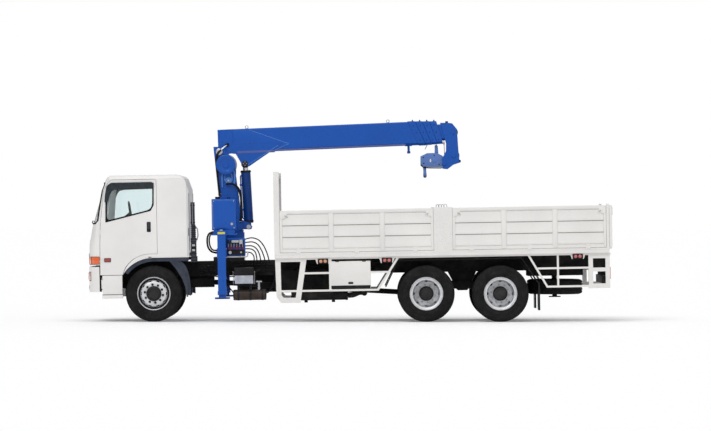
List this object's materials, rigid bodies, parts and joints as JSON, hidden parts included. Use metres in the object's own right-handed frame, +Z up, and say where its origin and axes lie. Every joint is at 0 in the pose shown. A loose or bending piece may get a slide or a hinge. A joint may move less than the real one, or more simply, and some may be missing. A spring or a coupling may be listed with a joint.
{
  "type": "truck with loader crane",
  "caption": "Flatbed truck with a cab over the engine, dropside load bed and a telescopic crane that slews, lifts and extends behind the cab.",
  "frame": {"origin": "on the ground under the middle of the overall box", "axes": "+X towards the tail (the truck drives towards -X), +Y towards the truck's right side, +Z up"},
  "size_m": [9.5756, 2.497, 3.6838],
  "materials": {
    "white": "satin white paint",
    "blue": "satin blue paint",
    "black": "matt black chassis paint",
    "plastic": "textured dark plastic",
    "rubber": "tyre rubber",
    "steel": "bright steel",
    "glass": "clear tinted glass",
    "seat": "woven seat cloth"
  },
  "bodies": {
    "chassis": {"front_axle": "black", "rear_bogie": "black", "chassis_frame": "black", "powertrain": "plastic", "front_bumper": "white", "fuel_tank": "steel", "battery_box": "plastic", "silencer": "black", "air_intake": "black", "rear_underrun": "white", "spare_wheel": "rubber", "front_mudguard_left": "plastic", "rear_mudguard_left": "plastic", "side_guard_left": "white", "front_mudguard_right": "plastic", "rear_mudguard_right": "plastic", "side_guard_right": "white", "bed_deck": "white", "headboard": "white", "crane_base": "blue"},
    "front_left_knuckle": {"front_left_knuckle": "black"},
    "front_right_knuckle": {"front_right_knuckle": "black"},
    "front_left_wheel": {"front_left_wheel": "rubber"},
    "front_right_wheel": {"front_right_wheel": "rubber"},
    "cab": {"cab_floor": "black", "cab_back": "white", "cab_roof": "white", "cab_front": "white", "windscreen": "glass", "dashboard": "plastic", "seats": "seat", "cab_left_side": "white", "cab_right_side": "white"},
    "left_door": {"left_door": "white", "left_door_glass": "glass"},
    "right_door": {"right_door": "white", "right_door_glass": "glass"},
    "crane_column": {"crane_column": "blue"},
    "boom_section_1": {"boom_section_1": "blue"},
    "boom_section_2": {"boom_section_2": "blue"},
    "boom_section_3": {"boom_section_3": "blue"},
    "boom_section_4": {"boom_section_4": "blue"},
    "boom_section_5": {"boom_section_5": "blue"},
    "hook_block": {"hook_block": "blue"},
    "lift_barrel": {"lift_barrel": "blue"},
    "lift_rod": {"lift_rod": "steel"},
    "outrigger_beam_left": {"outrigger_beam_left": "blue"},
    "outrigger_beam_right": {"outrigger_beam_right": "blue"},
    "jack_leg_left": {"jack_leg_left": "black"},
    "jack_leg_right": {"jack_leg_right": "black"},
    "tailgate": {"tailgate": "white"},
    "gate_left_front": {"gate_left_front": "white"},
    "gate_left_rear": {"gate_left_rear": "white"},
    "rear_left_wheels_1": {"rear_left_wheels_1": "rubber"},
    "rear_left_wheels_2": {"rear_left_wheels_2": "rubber"},
    "gate_right_front": {"gate_right_front": "white"},
    "gate_right_rear": {"gate_right_rear": "white"},
    "rear_right_wheels_1": {"rear_right_wheels_1": "rubber"},
    "rear_right_wheels_2": {"rear_right_wheels_2": "rubber"}
  },
  "joints": [
    {"name": "left_steer", "type": "hinge", "parent": "chassis", "child": "front_left_knuckle", "pos_m": [-3.57919, -0.84, 0.515], "axis": [0, 0, 1], "range_deg": [-38, 38]},
    {"name": "right_steer", "type": "hinge", "parent": "chassis", "child": "front_right_knuckle", "pos_m": [-3.57919, 0.84, 0.515], "axis": [0, 0, 1], "range_deg": [-38, 38]},
    {"name": "front_left_wheel_spin", "type": "hinge", "parent": "front_left_knuckle", "child": "front_left_wheel", "pos_m": [-3.57919, -0.97, 0.515], "axis": [0, 1, 0], "continuous": true},
    {"name": "rear_left_wheels_1_spin", "type": "hinge", "parent": "chassis", "child": "rear_left_wheels_1", "pos_m": [1.39081, -0.93, 0.515], "axis": [0, 1, 0], "continuous": true},
    {"name": "rear_left_wheels_2_spin", "type": "hinge", "parent": "chassis", "child": "rear_left_wheels_2", "pos_m": [2.74081, -0.93, 0.515], "axis": [0, 1, 0], "continuous": true},
    {"name": "front_right_wheel_spin", "type": "hinge", "parent": "front_right_knuckle", "child": "front_right_wheel", "pos_m": [-3.57919, 0.97, 0.515], "axis": [0, 1, 0], "continuous": true},
    {"name": "rear_right_wheels_1_spin", "type": "hinge", "parent": "chassis", "child": "rear_right_wheels_1", "pos_m": [1.39081, 0.93, 0.515], "axis": [0, 1, 0], "continuous": true},
    {"name": "rear_right_wheels_2_spin", "type": "hinge", "parent": "chassis", "child": "rear_right_wheels_2", "pos_m": [2.74081, 0.93, 0.515], "axis": [0, 1, 0], "continuous": true},
    {"name": "cab_tilt", "type": "hinge", "parent": "chassis", "child": "cab", "pos_m": [-4.73977, 0, 0.93989], "axis": [0, -1, 0], "range_deg": [0, 50]},
    {"name": "left_door_hinge", "type": "hinge", "parent": "cab", "child": "left_door", "pos_m": [-4.54486, -1.148, 1.23333], "axis": [0.0175, 0, -0.9998], "range_deg": [0, 70]},
    {"name": "right_door_hinge", "type": "hinge", "parent": "cab", "child": "right_door", "pos_m": [-4.54486, 1.148, 1.23333], "axis": [-0.0175, 0, 0.9998], "range_deg": [0, 70]},
    {"name": "gate_left_front_hinge", "type": "hinge", "parent": "chassis", "child": "gate_left_front", "pos_m": [0.12602, -1.24, 1.28136], "axis": [0.9998, 0, 0.0175], "range_deg": [0, 175]},
    {"name": "gate_left_rear_hinge", "type": "hinge", "parent": "chassis", "child": "gate_left_rear", "pos_m": [3.27104, -1.24, 1.33626], "axis": [0.9998, 0, 0.0175], "range_deg": [0, 175]},
    {"name": "gate_right_front_hinge", "type": "hinge", "parent": "chassis", "child": "gate_right_front", "pos_m": [0.12602, 1.24, 1.28136], "axis": [-0.9998, 0, -0.0175], "range_deg": [0, 175]},
    {"name": "gate_right_rear_hinge", "type": "hinge", "parent": "chassis", "child": "gate_right_rear", "pos_m": [3.27104, 1.24, 1.33626], "axis": [-0.9998, 0, -0.0175], "range_deg": [0, 175]},
    {"name": "tailgate_hinge", "type": "hinge", "parent": "chassis", "child": "tailgate", "pos_m": [4.77931, 0, 1.36258], "axis": [0, 1, 0], "range_deg": [0, 175]},
    {"name": "slew", "type": "hinge", "parent": "chassis", "child": "crane_column", "pos_m": [-2.22819, 0, 1.67383], "axis": [-0.0175, 0, 0.9998], "continuous": true},
    {"name": "boom_lift", "type": "hinge", "parent": "crane_column", "child": "boom_section_1", "pos_m": [-2.41435, 0, 3.1138], "axis": [0, -1, 0], "range_deg": [0, 75]},
    {"name": "boom_extend_2", "type": "slide", "parent": "boom_section_1", "child": "boom_section_2", "axis": [0.9991, 0, 0.0419], "range_m": [0, 2.2]},
    {"name": "boom_extend_3", "type": "slide", "parent": "boom_section_2", "child": "boom_section_3", "axis": [0.9991, 0, 0.0419], "range_m": [0, 2.2]},
    {"name": "boom_extend_4", "type": "slide", "parent": "boom_section_3", "child": "boom_section_4", "axis": [0.9991, 0, 0.0419], "range_m": [0, 2.2]},
    {"name": "boom_extend_5", "type": "slide", "parent": "boom_section_4", "child": "boom_section_5", "axis": [0.9991, 0, 0.0419], "range_m": [0, 2.2]},
    {"name": "hook_swing", "type": "hinge", "parent": "boom_section_5", "child": "hook_block", "pos_m": [1.73835, 0, 2.89751], "axis": [0, -1, 0], "range_deg": [0, 90]},
    {"name": "lift_barrel_swing", "type": "hinge", "parent": "crane_column", "child": "lift_barrel", "pos_m": [-1.87214, 0, 1.73106], "axis": [0, -1, 0], "range_deg": [0, 1.36]},
    {"name": "lift_rod_slide", "type": "slide", "parent": "lift_barrel", "child": "lift_rod", "axis": [-0.058, 0, 0.9983], "range_m": [0, 0.649]},
    {"name": "outrigger_left_slide", "type": "slide", "parent": "chassis", "child": "outrigger_beam_left", "axis": [0, -1, 0], "range_m": [0, 0.75]},
    {"name": "outrigger_right_slide", "type": "slide", "parent": "chassis", "child": "outrigger_beam_right", "axis": [0, 1, 0], "range_m": [0, 0.75]},
    {"name": "jack_left_drop", "type": "slide", "parent": "outrigger_beam_left", "child": "jack_leg_left", "axis": [0.0175, 0, -0.9998], "range_m": [0, 0.4]},
    {"name": "jack_right_drop", "type": "slide", "parent": "outrigger_beam_right", "child": "jack_leg_right", "axis": [0.0175, 0, -0.9998], "range_m": [0, 0.4]}
  ],
  "couplings": [
    {"joint": "right_steer", "follows": "left_steer", "ratio": 1},
    {"joint": "boom_extend_3", "follows": "boom_extend_2", "ratio": 1},
    {"joint": "boom_extend_4", "follows": "boom_extend_2", "ratio": 1},
    {"joint": "boom_extend_5", "follows": "boom_extend_2", "ratio": 1},
    {"joint": "lift_barrel_swing", "follows": "boom_lift", "ratio": 0.0175},
    {"joint": "lift_rod_slide", "follows": "boom_lift", "m_per_rad": 0.495}
  ]
}
